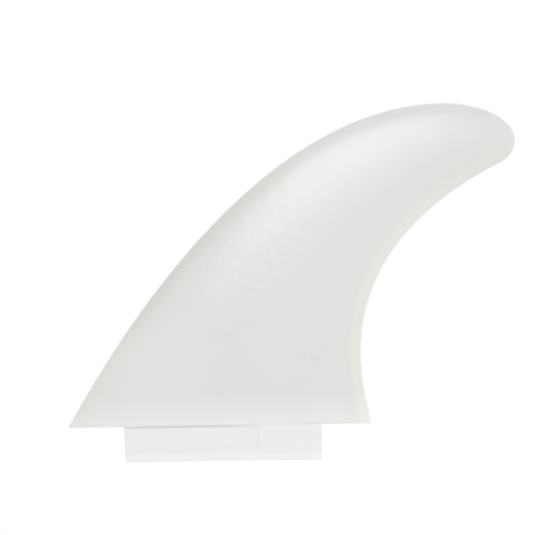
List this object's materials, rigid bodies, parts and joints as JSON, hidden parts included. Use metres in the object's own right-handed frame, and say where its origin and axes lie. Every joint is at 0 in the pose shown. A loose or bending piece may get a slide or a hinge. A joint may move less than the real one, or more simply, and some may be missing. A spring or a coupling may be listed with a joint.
{
  "type": "surfboard fin",
  "caption": "Raked surfboard fin in white plastic: a foiled blade that sweeps back to a rounded tip, moulded in one piece with a straight mounting tab.",
  "frame": {"origin": "middle of the mounting tab, in its length and thickness, on the plane where the blade meets the board", "axes": "+X aft along the board, from the leading edge's nose towards the tip; +Z out of the board towards the tip of the blade; Y across the blade"},
  "size_m": [0.1698, 0.0074, 0.1333],
  "materials": {
    "fin_plastic": "satin"
  },
  "bodies": {
    "root": {"fin": "fin_plastic"}
  },
  "joints": []
}
